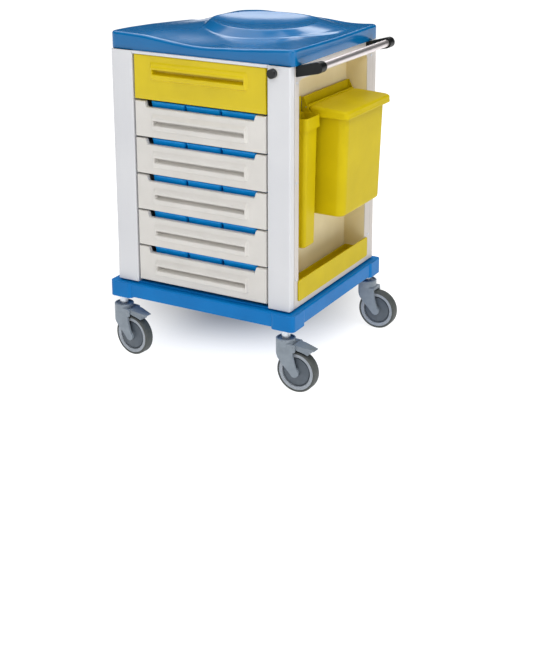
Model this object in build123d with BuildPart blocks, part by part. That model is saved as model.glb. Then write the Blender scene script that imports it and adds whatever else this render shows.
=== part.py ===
from build123d import *
from math import cos, radians, sin, sqrt
import os

# Ward treatment trolley: a steel body on a moulded base with four casters, six front
# drawers, a scooped worktop, a push handle, and an open side bay that carries two
# hang-on bins and a lift-out tray.  Millimetres, +Z up, drawers open along -Y.
# The origin is on the floor below the middle of the trolley's overall box, so the body's
# own centre plane stands a little to -X of it: the casters trail towards +X.  The front
# left caster is turned a little outwards, which moves the body's middle slightly to +Y.

# ---------------------------------------------------------------- driving dimensions
body_w = 600.0            # body width over the posts
body_d = 554.0            # body depth over the posts
wheel_r = 62.5            # caster wheel radius
base_bottom = 2 * wheel_r + 59   # underside of the base's corner blocks
base_top = base_bottom + 48      # top face of the base
plinth_h = 6.0            # shadow gap between base and body
body_top = 952.0          # top of the posts, where the worktop rests
sheet = 1.5               # panel sheet thickness
frame_sheet = 2.0         # thickness of the side frame and of the post walls
half_w = body_w / 2
half_d = body_d / 2
body_low = base_top + plinth_h

# base
base_over_x = 16.5        # how far the base strips stand out beyond the body, sideways
base_over_y = 14.0        # the same, front and back
block_out = 5.0           # how far the corner blocks stand out beyond the strips
block_len = 78.0          # length of a corner block along each side
block_round = 14.0
strip_lift = 5.0          # the strips stop this far above the blocks' underside
base_wall = 5.0
base_skin = 4.0

# posts
post_face = 73.0          # front post, seen from the front
rear_face = 40.0          # rear post, seen from the back
post_side = 27.0          # every post, seen from the side
post_round = 4.0

# side bay
bay_front = 51.0 - half_d   # opening in the right side frame, along Y
bay_back = half_d - 63.0
bay_bottom = body_low + 20  # opening heights
bay_top = body_top - 42
bay_round = 15.0
bay_depth = 72.0          # from the frame's outer face to the bay's inner wall
liner_wall = 2.5
screw_r = 4.0
screw_head = 1.2
screw_rows = (body_low + 87, body_low + 377, body_top - 49)
screw_inset = 10.0        # from the frame's vertical edges

# worktop
top_w = body_w + 16
top_d = body_d - 14
top_round = 18.0
top_rim = body_top + 51   # rim height at the corners
top_scoop = body_top + 29 # lowest point of the scooped front edge
scoop_back = 120.0        # the scoop runs back to here
top_pocket = body_top + 16        # ceiling of the hollow underside
top_wall = 8.0
hump_top = body_top + 62
hump_left = -205.0
hump_right = 225.0
hump_tip_y = 105.0
hump_front_y = -100.0
hump_rear_y = top_d / 2 - 24
hump_ring = 16.0          # width of the ring round the bowl
bowl_floor = body_top + 40
ramp_start_y = -170.0     # the left rim falls away from here to the back corner
ramp_corner_z = body_top + 15
ramp_reach_x = -110.0

# drawers
drawer_pitch = 112.5
grey_front_h = drawer_pitch - 5.5
first_drawer_z = body_low + 10
grey_drawers = 5
top_front_z = first_drawer_z + grey_drawers * drawer_pitch + 0.5
top_front_h = body_top - 9 - top_front_z
front_w = body_w - 157
front_recess = 2.0        # fronts sit this far behind the posts' faces
front_t = 14.0
front_round = 4.0
notch_w = front_w - 73
notch_d = 17.5
notch_low_r = 8.0
notch_high_r = 6.0
pull_w = front_w - 115
pull_h = 54.0
pull_proud = 9.0
pull_round = 8.0
pull_crest_w = pull_w - 14
pull_crest_h = 30.0
slot_w = pull_w - 20
slot_h = 14.0
slot_depth = 16.0
grey_pull_z = 48.5        # pull centre above the front's lower edge
top_pull_z = top_front_h - 44.5
box_inner_w = front_w - 81
box_wall = 2.5
box_depth = body_d - 78
box_low = 5.0             # floor of the box above the front's lower edge
grey_box_h = grey_front_h - 45
top_box_h = top_front_h - 20
runner_z = grey_front_h - 51           # underside of the box's side runner above the front's lower edge
runner_t = 4.0
runner_out = front_w / 2 - 2.5   # half width over the runners
runner_gap = 0.5          # vertical play in the rails
rail_out = half_w - 76
rail_in = half_w - 90
rail_t = 1.5
rail_front = 31.0 - half_d
rail_back = half_d - 15.0

# blue drawer bins
insert_count = 3
insert_gap = 1.0
insert_h = grey_front_h - 9
insert_wall = 2.0
insert_round = 6.0
insert_front_gap = 3.0

# handle
handle_x = half_w + 66    # tube axis from the body's centre plane
handle_z = body_top - 0.5
handle_tube_r = 11.0
handle_tube_wall = 1.5
handle_boss_r = 16.0
arm_w = 30.0
arm_front_y = 31.0 - half_d   # near face of the front arm
arm_rear_y = half_d - 75      # near face of the rear arm
arm_root_low = body_top - 31
arm_root_high = body_top - 3
arm_socket = 22.0         # how deep the tube sits in each arm
tube_end_gap = 0.1        # between the tube's ends and the sockets' floors

# lock
lock_x = half_w - 52
lock_z = body_top - 20
lock_bezel_r = 16.0
lock_bezel_h = 3.0
lock_core_r = 8.0
lock_knob_r = 13.5
lock_knob_h = 15.0
lock_gap = 0.4
lock_fit = 0.05
cam_len = 17.0
cam_w = 10.0
cam_t = 3.0

# large bin, its lid and the rail that both bins hang on
rail_top = body_top - 137
rail_low = rail_top - 20
bar_gap = 3.5             # the hanging rail stands this far off the bay wall
bar_t = 3.0
hook_play = 0.4
hook_t = 2.4
hook_grip = 14.0          # the hook's lip reaches this far down behind the rail
bin_wall = 3.0
bin_out = half_w + 72
bin_draft = 10.0
bin_front = -75.0
bin_back = bay_back - 16
bin_bottom = body_low + 234
bin_rim = rail_top - 25
hook_wide = bin_back - bin_front - 30   # hook length on the large bin
hook_narrow = 62.0                      # and on the narrow bin
bin_round = 26.0
bin_bottom_round = 12.0
plate_top = rail_top + 13
cheek_t = 3.0
lid_front = bin_front - 13
lid_back = bin_back + 13
lid_out = bin_out + 13
lid_in = half_w - 46
lid_top_in = bin_rim + 16
lid_top_out = bin_rim + 10
lid_skirt = bin_rim - 16
lid_wall = 3.0
lid_round = 14.0
pin_x = half_w - 51
pin_z = bin_rim + 9
pin_r = 2.5
pin_fit = 0.05
knuckle_r = 5.5
side_play = 1.0

# narrow bin
slim_front = bay_front + 48
slim_back = slim_front + 86
slim_out = half_w
slim_bottom = body_low + 157
slim_rim = bin_rim - 4
slim_band = 36.0
slim_step = 6.0
slim_draft = 6.0
slim_round = 12.0

# side tray
tray_z = bay_bottom + 1
tray_front = bay_front + 4
tray_back = bay_back - 4
tray_in = half_w - 66
tray_wall_top = bay_bottom + 32
tray_wall = 2.5
tray_round = 14.0
tray_lip_front = bay_front - 5
tray_lip_back = bay_back + 14
tray_lip_low = bay_bottom - 2
tray_lip_high = bay_bottom + 61
tray_lip_out = half_w + 4
lip_gap = 0.5

# casters
caster_x = half_w - 14          # swivel axes from the body's centre plane
caster_y = half_d - 3
wheel_w = 32.0
trail = 40.0
front_left_turn = -7.0    # heading of the front left caster; the other three point along +X
rim_r = wheel_r - 5.5
rim_w = 26.0
ring_in_r = rim_r - 5
web_w = 14.0
hub_r = 13.0
hub_w = 37.0
axle_r = 5.0
axle_fit = 0.05
fork_gap = 19.5           # half the space between the legs
leg_t = 6.5
boss_r = 13.0
well_r = wheel_r + 4.5
cap_r = 29.5
cap_low = 2 * wheel_r + 12
cap_high = 2 * wheel_r + 34
cap_dish = 4.0
cap_dish_r = 24.0
hood_out = 33.0
stem_r = 13.0
stem_pin_r = 8.0
stem_fit = 0.05
stem_top_r = 9.0
stem_top_h = 30.0
stem_floor = 2 * wheel_r + 17
pedal_x = trail - 4            # pedal pivot from the swivel axis, towards the trail
pedal_z = 2 * wheel_r + 18
pedal_reach = trail + 61
pedal_w = 40.0
pedal_tip_w = 20.0
pedal_pin_r = 3.0
pedal_fit = 0.05
shoe_gap = 7.0

# ---------------------------------------------------------------- worked-out places
strip_x = half_w + base_over_x
strip_y = half_d + base_over_y
reach_right = caster_x + trail + wheel_r
body_x = (strip_x + block_out - reach_right) / 2
turned = radians(-front_left_turn)
reach_front = caster_y + (trail + boss_r) * sin(turned) + (fork_gap + leg_t) * cos(turned)
body_y = (reach_front - caster_y - cap_r) / 2
side_front = -half_d + post_side
side_back = half_d - post_side
inner_wall_x = half_w - bay_depth - liner_wall
bay_wall = half_w - bay_depth
bin_x = bay_wall + bar_gap + bar_t + hook_play
front_y = -half_d + front_recess
headings = {
    "front_left": (-1, -1, front_left_turn),
    "front_right": (1, -1, 0.0),
    "rear_left": (-1, 1, 0.0),
    "rear_right": (1, 1, 0.0),
}

os.makedirs("parts", exist_ok=True)


def level(z):
    """Horizontal plane at height z, centred on the body."""
    return Plane(origin=(body_x, body_y, z), x_dir=(1, 0, 0), z_dir=(0, 0, 1))


def facing_front(y):
    """Upright plane at depth y that faces the front: local x is X, local y is Z."""
    return Plane(origin=(body_x, body_y + y, 0), x_dir=(1, 0, 0), z_dir=(0, -1, 0))


def facing_right(x):
    """Upright plane at x that faces right: local x is Y, local y is Z."""
    return Plane(origin=(body_x + x, body_y, 0), x_dir=(0, 1, 0), z_dir=(1, 0, 0))


def save(piece, name):
    """Label a finished sub-part and write it to its own file."""
    piece.part.label = name
    export_step(piece.part, f"parts/{name}.step")


# ---------------------------------------------------------------- base and floor pan
with BuildPart() as base:
    with BuildSketch(level(base_bottom + strip_lift)):
        RectangleRounded(2 * strip_x, 2 * strip_y, block_round)
    extrude(amount=base_top - base_bottom - strip_lift)
    chamfer(base.edges().group_by(Axis.Z)[-1], 3)
    with BuildSketch(level(base_bottom)):
        corner_x = strip_x + block_out - block_len / 2
        corner_y = strip_y + block_out - block_len / 2
        with Locations(*[(sx * corner_x, sy * corner_y) for sx in (-1, 1) for sy in (-1, 1)]):
            RectangleRounded(block_len, block_len, block_round)
    extrude(amount=base_top - base_bottom)
    with BuildSketch(level(base_bottom)):
        Rectangle(2 * (strip_x - base_wall), 2 * (strip_y - base_wall))
        with Locations(*[(sx * corner_x, sy * corner_y) for sx in (-1, 1) for sy in (-1, 1)]):
            Rectangle(block_len, block_len, mode=Mode.SUBTRACT)
    extrude(amount=base_top - base_bottom - base_skin, mode=Mode.SUBTRACT)
    with BuildSketch(level(base_bottom)):
        with Locations(*[(sx * caster_x, sy * caster_y) for sx in (-1, 1) for sy in (-1, 1)]):
            Circle(stem_top_r)
    extrude(amount=stem_top_h + 1, mode=Mode.SUBTRACT)
save(base, "base")

with BuildPart() as floor_pan:
    with BuildSketch(level(base_top)):
        Rectangle(body_w - 2 * plinth_h, body_d - 2 * plinth_h)
    extrude(amount=plinth_h)
    with BuildSketch(level(base_top)):
        Rectangle(body_w - 2 * plinth_h - 2 * frame_sheet, body_d - 2 * plinth_h - 2 * frame_sheet)
    extrude(amount=plinth_h - frame_sheet, mode=Mode.SUBTRACT)
save(floor_pan, "floor_pan")

# ---------------------------------------------------------------- posts
post_mid_y = half_d - post_side / 2
with BuildPart() as front_posts:
    with BuildSketch(level(body_low)):
        with Locations(*[(s * (half_w - post_face / 2), -post_mid_y) for s in (-1, 1)]):
            RectangleRounded(post_face, post_side, post_round)
            Rectangle(post_face - 2 * frame_sheet, post_side - 2 * frame_sheet, mode=Mode.SUBTRACT)
    extrude(amount=body_top - body_low)
    with BuildSketch(facing_front(-half_d)):
        with Locations((lock_x, lock_z)):
            Circle(lock_core_r + lock_fit)
    extrude(amount=-(frame_sheet + 1), mode=Mode.SUBTRACT)
save(front_posts, "front_posts")

with BuildPart() as rear_posts:
    with BuildSketch(level(body_low)):
        with Locations(*[(s * (half_w - rear_face / 2), post_mid_y) for s in (-1, 1)]):
            RectangleRounded(rear_face, post_side, post_round)
            Rectangle(rear_face - 2 * frame_sheet, post_side - 2 * frame_sheet, mode=Mode.SUBTRACT)
    extrude(amount=body_top - body_low)
save(rear_posts, "rear_posts")

# ---------------------------------------------------------------- body panels
with BuildPart() as left_panel:
    with BuildSketch(facing_right(-half_w)):
        with Locations((0, (body_low + body_top) / 2)):
            Rectangle(side_back - side_front, body_top - body_low)
    extrude(amount=sheet)
save(left_panel, "left_panel")

with BuildPart() as back_panel:
    with BuildSketch(facing_front(half_d)):
        with Locations((0, (body_low + body_top) / 2)):
            Rectangle(body_w - 2 * rear_face, body_top - body_low)
    extrude(amount=sheet)
save(back_panel, "back_panel")

with BuildPart() as top_rail:
    with BuildSketch(level(top_front_z + top_front_h + 1)):
        with Locations((0, -post_mid_y)):
            Rectangle(body_w - 2 * post_face, post_side)
    extrude(amount=body_top - top_front_z - top_front_h - 1)
save(top_rail, "top_rail")

bay_mid_y = (bay_front + bay_back) / 2
bay_mid_z = (bay_bottom + bay_top) / 2
bay_w = bay_back - bay_front
bay_h = bay_top - bay_bottom
with BuildPart() as side_frame:
    with BuildSketch(facing_right(half_w - frame_sheet)):
        with Locations((0, (body_low + body_top) / 2)):
            Rectangle(side_back - side_front, body_top - body_low)
        with Locations((bay_mid_y, bay_mid_z)):
            RectangleRounded(bay_w, bay_h, bay_round, mode=Mode.SUBTRACT)
    extrude(amount=frame_sheet)
save(side_frame, "side_frame")

with BuildPart() as bay_liner:
    with BuildSketch(facing_right(inner_wall_x)):
        with Locations((bay_mid_y, bay_mid_z)):
            RectangleRounded(bay_w + 2 * liner_wall, bay_h + 2 * liner_wall, bay_round + liner_wall)
    extrude(amount=half_w - frame_sheet - inner_wall_x)
    with BuildSketch(facing_right(bay_wall)):
        with Locations((bay_mid_y, bay_mid_z)):
            RectangleRounded(bay_w, bay_h, bay_round)
    extrude(amount=bay_depth, mode=Mode.SUBTRACT)
save(bay_liner, "bay_liner")

with BuildPart() as frame_screws:
    with BuildSketch(facing_right(half_w)):
        with Locations(*[(s * (side_back - screw_inset), z) for s in (-1, 1) for z in screw_rows]):
            Circle(screw_r)
    extrude(amount=screw_head)
save(frame_screws, "frame_screws")

with BuildPart() as inner_walls:
    with BuildSketch(level(body_low)):
        with Locations(*[(s * (inner_wall_x - sheet / 2), (rail_front + half_d) / 2) for s in (-1, 1)]):
            Rectangle(sheet, half_d - sheet - rail_front - sheet)
    extrude(amount=top_front_z + top_front_h - body_low)
save(inner_walls, "inner_walls")

# ---------------------------------------------------------------- worktop
hump_mid = (hump_left + hump_right) / 2
with BuildPart() as worktop:
    with BuildSketch(level(body_top)):
        RectangleRounded(top_w, top_d, top_round)
    extrude(amount=top_rim - body_top)
    with BuildSketch(facing_front(-top_d / 2 - 1)):
        with BuildLine():
            ThreePointArc((-top_w / 2, top_rim), (0, top_scoop), (top_w / 2, top_rim))
            Polyline(
                (top_w / 2, top_rim),
                (top_w / 2, top_rim + hump_ring),
                (-top_w / 2, top_rim + hump_ring),
                (-top_w / 2, top_rim),
            )
        make_face()
    extrude(amount=-(top_d / 2 + 1 + scoop_back), mode=Mode.SUBTRACT)
    with BuildSketch(level(body_top)) as hump_plan:
        with BuildLine():
            ThreePointArc((hump_left, hump_tip_y), (hump_mid, hump_front_y), (hump_right, hump_tip_y))
            ThreePointArc((hump_right, hump_tip_y), (hump_mid, hump_rear_y), (hump_left, hump_tip_y))
        make_face()
    extrude(amount=hump_top - body_top)
    with BuildSketch(level(bowl_floor)):
        with BuildLine():
            ThreePointArc(
                (hump_left + 2 * hump_ring, hump_tip_y),
                (hump_mid, hump_front_y + hump_ring),
                (hump_right - 2 * hump_ring, hump_tip_y),
            )
            ThreePointArc(
                (hump_right - 2 * hump_ring, hump_tip_y),
                (hump_mid, hump_rear_y - hump_ring),
                (hump_left + 2 * hump_ring, hump_tip_y),
            )
        make_face()
    extrude(amount=hump_top, mode=Mode.SUBTRACT)
    with BuildSketch(level(body_top)):
        Rectangle(top_w - 2 * top_wall, top_d - 2 * top_wall)
    extrude(amount=top_pocket - body_top, mode=Mode.SUBTRACT)
    fall_start = Vector(body_x - top_w / 2, body_y + ramp_start_y, top_rim)
    fall_corner = Vector(body_x - top_w / 2, body_y + top_d / 2, ramp_corner_z)
    fall_end = Vector(body_x + ramp_reach_x, body_y + top_d / 2, top_rim)
    fall_normal = (fall_end - fall_start).cross(fall_corner - fall_start)
    if fall_normal.Z < 0:
        fall_normal = -fall_normal
    split(bisect_by=Plane(origin=fall_start, z_dir=fall_normal), keep=Keep.BOTTOM)
save(worktop, "worktop")

# ---------------------------------------------------------------- push handle
with BuildPart() as handle_arms:
    for near_face in (arm_front_y, arm_rear_y):
        with BuildSketch(facing_front(near_face)):
            with Locations((handle_x, handle_z)):
                Circle(handle_boss_r)
            with Locations((half_w + 2, (arm_root_low + arm_root_high) / 2)):
                Rectangle(4, arm_root_high - arm_root_low)
            make_hull()
        extrude(amount=-arm_w)
    with BuildSketch(facing_front(arm_front_y + arm_w - arm_socket)):
        with Locations((handle_x, handle_z)):
            Circle(handle_tube_r)
    extrude(amount=-(arm_rear_y - arm_front_y - arm_w + 2 * arm_socket), mode=Mode.SUBTRACT)
save(handle_arms, "handle_arms")

tube_start = arm_front_y + arm_w - arm_socket + tube_end_gap
tube_end = arm_rear_y + arm_socket - tube_end_gap
with BuildPart() as handle_tube:
    with BuildSketch(facing_front(tube_start)):
        with Locations((handle_x, handle_z)):
            Circle(handle_tube_r)
            Circle(handle_tube_r - handle_tube_wall, mode=Mode.SUBTRACT)
    extrude(amount=-(tube_end - tube_start))
save(handle_tube, "handle_tube")

# ---------------------------------------------------------------- lock
lock_seat = -half_d - lock_bezel_h
with BuildPart() as lock_bezel:
    with BuildSketch(facing_front(-half_d)):
        with Locations((lock_x, lock_z)):
            Circle(lock_bezel_r)
            Circle(lock_core_r + lock_fit, mode=Mode.SUBTRACT)
    extrude(amount=lock_bezel_h)
    chamfer(lock_bezel.faces().sort_by(Axis.Y)[0].outer_wire().edges(), 1)
save(lock_bezel, "lock_bezel")

cam_y = -half_d + frame_sheet + cam_w
with BuildPart() as lock_knob:
    with BuildSketch(facing_front(lock_seat - lock_gap)):
        with Locations((lock_x, lock_z)):
            Circle(lock_knob_r)
    extrude(amount=lock_knob_h)
    chamfer(lock_knob.edges().group_by(Axis.Y)[0], 2)
    with BuildSketch(facing_front(lock_seat - lock_gap)):
        with Locations((lock_x, lock_z)):
            Circle(lock_core_r)
    extrude(amount=-(cam_y - lock_seat + lock_gap))
save(lock_knob, "lock_knob")

with BuildPart() as lock_cam:
    with BuildSketch(facing_front(cam_y)):
        with Locations((lock_x, lock_z + (cam_len - cam_w / 2) / 2)):
            RectangleRounded(cam_w, cam_len + cam_w / 2, cam_w / 2 - 0.5)
    extrude(amount=-cam_t)
save(lock_cam, "lock_cam")

# ---------------------------------------------------------------- drawers
top_drawer = "drawer_1"
drawer_list = [(top_drawer, top_front_z, top_front_h, top_pull_z, top_box_h)]
for row in range(grey_drawers):
    row_z = first_drawer_z + drawer_pitch * (grey_drawers - 1 - row)
    drawer_list.append((f"drawer_{row + 2}", row_z, grey_front_h, grey_pull_z, grey_box_h))


def make_front(name, low, height, pull_z):
    """Moulded drawer front with a raised pull; the grey ones are notched along the top."""
    with BuildPart() as front:
        with BuildSketch(facing_front(front_y + front_t)) as outline:
            with Locations((0, low + height / 2)):
                Rectangle(front_w, height)
            fillet(outline.vertices(), front_round)
            if name != top_drawer:
                with Locations((0, low + height)):
                    Rectangle(notch_w, 2 * notch_d, mode=Mode.SUBTRACT)
                mouth = outline.vertices().filter_by_position(Axis.X, -notch_w / 2 - 1, notch_w / 2 + 1)
                fillet(mouth.group_by(Axis.Y)[-1], notch_high_r)
                fillet([v for v in outline.vertices()
                        if abs(abs(v.X) - notch_w / 2) < 0.01 and abs(v.Y - low - height + notch_d) < 0.01],
                       notch_low_r)
        extrude(amount=front_t)
        with BuildSketch(facing_front(front_y)):
            with Locations((0, low + pull_z)):
                RectangleRounded(pull_w, pull_h, pull_round)
        with BuildSketch(facing_front(front_y - pull_proud)):
            with Locations((0, low + pull_z)):
                RectangleRounded(pull_crest_w, pull_crest_h, pull_round)
        loft()
        with BuildSketch(facing_front(front_y - pull_proud)):
            with Locations((0, low + pull_z)):
                RectangleRounded(slot_w, slot_h, slot_h / 2 - 1)
        extrude(amount=-slot_depth, mode=Mode.SUBTRACT)
    save(front, f"{name}_front")


def make_box(name, low, height):
    """Drawer box: an open tray with a runner flange along each side."""
    rear_y = front_y + front_t
    mid_y = rear_y + box_depth / 2
    with BuildPart() as box:
        with BuildSketch(level(low + box_low)):
            with Locations((0, mid_y)):
                Rectangle(box_inner_w + 2 * box_wall, box_depth)
        extrude(amount=height)
        with BuildSketch(level(low + runner_z)):
            with Locations((0, mid_y)):
                Rectangle(2 * runner_out, box_depth - 4 * box_wall)
        extrude(amount=runner_t)
        with BuildSketch(level(low + box_low + box_wall)):
            with Locations((0, mid_y)):
                Rectangle(box_inner_w, box_depth - 2 * box_wall)
        extrude(amount=height, mode=Mode.SUBTRACT)
    save(box, f"{name}_box")


def make_inserts(name, low):
    """Blue bins side by side in a drawer box, one solid each."""
    insert_w = (box_inner_w - (insert_count + 1) * insert_gap) / insert_count
    start_y = front_y + front_t + box_wall + insert_front_gap
    length = box_depth - 2 * box_wall - 2 * insert_front_gap
    with BuildPart() as inserts:
        with BuildSketch(level(low + box_low + box_wall)):
            with Locations((0, start_y + length / 2)):
                with GridLocations(insert_w + insert_gap, 0, insert_count, 1):
                    RectangleRounded(insert_w, length, insert_round)
        extrude(amount=insert_h)
        with BuildSketch(level(low + box_low + box_wall + insert_wall)):
            with Locations((0, start_y + length / 2)):
                with GridLocations(insert_w + insert_gap, 0, insert_count, 1):
                    RectangleRounded(insert_w - 2 * insert_wall, length - 2 * insert_wall,
                                     insert_round - insert_wall)
        extrude(amount=insert_h, mode=Mode.SUBTRACT)
    save(inserts, f"{name}_bins")


for name, low, height, pull_z, box_h in drawer_list:
    make_front(name, low, height, pull_z)
    make_box(name, low, box_h)
    if name != top_drawer:
        make_inserts(name, low)

with BuildPart() as drawer_rails:
    rail_h = runner_t + 2 * runner_gap + 2 * rail_t
    rail_mid = (rail_in + rail_out) / 2
    for name, low, height, pull_z, box_h in drawer_list:
        centre_z = low + runner_z + runner_t / 2
        with BuildSketch(facing_front(rail_front)):
            with Locations((-rail_mid, centre_z), (rail_mid, centre_z)):
                Rectangle(rail_out - rail_in, rail_h)
            with Locations((0, centre_z)):
                Rectangle(2 * (rail_out - rail_t), runner_t + 2 * runner_gap, mode=Mode.SUBTRACT)
        extrude(amount=-(rail_back - rail_front))
save(drawer_rails, "drawer_rails")

# ---------------------------------------------------------------- hanging rail and bins
hook_rear = bin_x - hook_play - bar_t - hook_play - hook_t
with BuildPart() as bin_rail:
    with BuildSketch(facing_right(bay_wall + bar_gap)):
        with Locations((bay_mid_y, (rail_low + rail_top) / 2)):
            Rectangle(bay_w - 20, rail_top - rail_low)
    extrude(amount=bar_t)
    with BuildSketch(facing_right(bay_wall)):
        spacer_y = [bay_front + 20, (slim_back + lid_front) / 2, bay_back - 16]
        with Locations(*[(y, (rail_low + rail_top) / 2) for y in spacer_y]):
            Rectangle(10, rail_top - rail_low)
    extrude(amount=bar_gap)
save(bin_rail, "bin_rail")


def bin_section(z, inset):
    """Rounded plan of the large bin at height z, drawn in by inset; the wall side stays upright."""
    draft = bin_draft * (bin_rim - z) / (bin_rim - bin_bottom)
    with BuildSketch(level(z)) as section:
        with Locations(((bin_x + bin_out - draft) / 2, (bin_front + bin_back) / 2)):
            RectangleRounded(bin_out - draft - bin_x - 2 * inset, bin_back - bin_front - draft - 2 * inset,
                             bin_round - inset)
    return section.sketch


with BuildPart() as bin_cavity:
    loft([bin_section(bin_bottom + bin_wall, bin_wall), bin_section(bin_rim + 1, bin_wall)])
    fillet(bin_cavity.edges().group_by(Axis.Z)[0], bin_bottom_round - bin_wall)

with BuildPart() as large_bin:
    loft([bin_section(bin_bottom, 0), bin_section(bin_rim, 0)])
    fillet(large_bin.edges().group_by(Axis.Z)[0], bin_bottom_round)
    add(bin_cavity.part, mode=Mode.SUBTRACT)
    with BuildSketch(facing_right(bin_x)):
        with Locations(((lid_front + lid_back) / 2, (plate_top + lid_skirt) / 2)):
            Rectangle(lid_back - lid_front, plate_top - lid_skirt)
    extrude(amount=bin_wall)
    for cheek_face in (lid_front, lid_back - cheek_t):
        with BuildSketch(facing_front(cheek_face)):
            with BuildLine():
                Polyline(
                    (bin_x, lid_skirt),
                    (lid_in + hook_t + cheek_t * 4, lid_skirt),
                    (bin_x + bin_wall + hook_t, plate_top),
                    (bin_x, plate_top),
                    close=True,
                )
            make_face()
        extrude(amount=-cheek_t)
    with BuildSketch(level(rail_top + hook_play)):
        with Locations(((hook_rear + bin_x + bin_wall) / 2, (bin_front + bin_back) / 2)):
            Rectangle(bin_x + bin_wall - hook_rear, hook_wide)
    extrude(amount=hook_t)
    with BuildSketch(level(rail_top - hook_grip)):
        with Locations((hook_rear + hook_t / 2, (bin_front + bin_back) / 2)):
            Rectangle(hook_t, hook_wide)
    extrude(amount=hook_grip + hook_play + hook_t)
    with BuildSketch(facing_front(lid_front - 1)):
        with Locations((pin_x, pin_z)):
            Circle(pin_r)
    extrude(amount=-(lid_back - lid_front + 2), mode=Mode.SUBTRACT)
save(large_bin, "large_bin")

with BuildPart() as lid_pin:
    with BuildSketch(facing_front(lid_front)):
        with Locations((pin_x, pin_z)):
            Circle(pin_r)
    extrude(amount=-(lid_back - lid_front))
save(lid_pin, "lid_pin")

lid_split = lid_in + hook_t + cheek_t * 4 + side_play
with BuildPart() as bin_lid:
    with BuildSketch(level(lid_skirt)) as lid_plan:
        with Locations(((lid_split + lid_out) / 2, (lid_front + lid_back) / 2)):
            Rectangle(lid_out - lid_split, lid_back - lid_front)
        fillet(lid_plan.vertices().group_by(Axis.X)[-1], lid_round)
    extrude(amount=lid_top_in - lid_skirt)
    with BuildSketch(level(lid_skirt)) as lid_hollow:
        with Locations(((lid_split + lid_out) / 2, (lid_front + lid_back) / 2)):
            Rectangle(lid_out - lid_split, lid_back - lid_front - 2 * lid_wall)
        fillet(lid_hollow.vertices().group_by(Axis.X)[-1], lid_round - lid_wall)
        with Locations((lid_out, (lid_front + lid_back) / 2)):
            Rectangle(2 * lid_wall, lid_back - lid_front, mode=Mode.SUBTRACT)
    extrude(amount=lid_top_out - lid_wall - lid_skirt, mode=Mode.SUBTRACT)
    tongue_front = lid_front + cheek_t + side_play
    tongue_back = lid_back - cheek_t - side_play
    with BuildSketch(facing_front(tongue_front)):
        with Locations((pin_x, pin_z)):
            Circle(knuckle_r)
        with BuildLine():
            Polyline(
                (pin_x, lid_top_out - lid_wall),
                (lid_split, lid_top_out - lid_wall),
                (lid_split, lid_top_in),
                (lid_in, lid_top_in),
                (pin_x, pin_z + knuckle_r),
                close=True,
            )
        make_face()
    extrude(amount=-(tongue_back - tongue_front))
    with BuildSketch(facing_front(lid_front - 1)):
        with BuildLine():
            Polyline(
                (lid_in, lid_top_in),
                (lid_out, lid_top_out),
                (lid_out, lid_top_in + 5),
                (lid_in, lid_top_in + 5),
                close=True,
            )
        make_face()
    extrude(amount=-(lid_back - lid_front + 2), mode=Mode.SUBTRACT)
    with BuildSketch(facing_front(lid_front - 1)):
        with Locations((pin_x, pin_z)):
            Circle(pin_r + pin_fit)
    extrude(amount=-(lid_back - lid_front + 2), mode=Mode.SUBTRACT)
save(bin_lid, "bin_lid")

with BuildPart() as narrow_bin:
    slim_mid_y = (slim_front + slim_back) / 2
    body_out = slim_out - slim_step
    body_len = slim_back - slim_front - 2 * slim_step
    with BuildSketch(level(slim_bottom)):
        with Locations(((bin_x + body_out - slim_draft) / 2, slim_mid_y)):
            RectangleRounded(body_out - slim_draft - bin_x, body_len - slim_draft, slim_round)
    with BuildSketch(level(slim_rim - slim_band)):
        with Locations(((bin_x + body_out) / 2, slim_mid_y)):
            RectangleRounded(body_out - bin_x, body_len, slim_round)
    loft()
    fillet(narrow_bin.edges().group_by(Axis.Z)[0], slim_step)
    with BuildSketch(level(slim_rim - slim_band)):
        with Locations(((bin_x + slim_out) / 2, slim_mid_y)):
            RectangleRounded(slim_out - bin_x, slim_back - slim_front, slim_round)
    extrude(amount=slim_band)
    with BuildSketch(level(slim_bottom + bin_wall)):
        with Locations(((bin_x + body_out - slim_draft) / 2, slim_mid_y)):
            RectangleRounded(body_out - slim_draft - bin_x - 2 * bin_wall,
                             body_len - slim_draft - 2 * bin_wall, slim_round - bin_wall)
    with BuildSketch(level(slim_rim - slim_band + bin_wall)):
        with Locations(((bin_x + body_out) / 2, slim_mid_y)):
            RectangleRounded(body_out - bin_x - 2 * bin_wall, body_len - 2 * bin_wall, slim_round - bin_wall)
    loft(mode=Mode.SUBTRACT)
    with BuildSketch(level(slim_rim - slim_band + bin_wall)):
        with Locations(((bin_x + slim_out) / 2, slim_mid_y)):
            RectangleRounded(slim_out - bin_x - 2 * bin_wall, slim_back - slim_front - 2 * bin_wall,
                             slim_round - bin_wall)
    extrude(amount=slim_band, mode=Mode.SUBTRACT)
    with BuildSketch(facing_right(bin_x)):
        with Locations((slim_mid_y, (slim_rim + rail_top) / 2)):
            Rectangle(body_len, rail_top - slim_rim + slim_band)
    extrude(amount=bin_wall)
    with BuildSketch(level(rail_top + hook_play)):
        with Locations(((hook_rear + bin_x + bin_wall) / 2, (slim_front + slim_back) / 2)):
            Rectangle(bin_x + bin_wall - hook_rear, hook_narrow)
    extrude(amount=hook_t)
    with BuildSketch(level(rail_top - hook_grip)):
        with Locations((hook_rear + hook_t / 2, (slim_front + slim_back) / 2)):
            Rectangle(hook_t, hook_narrow)
    extrude(amount=hook_grip + hook_play + hook_t)
save(narrow_bin, "narrow_bin")

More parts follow.
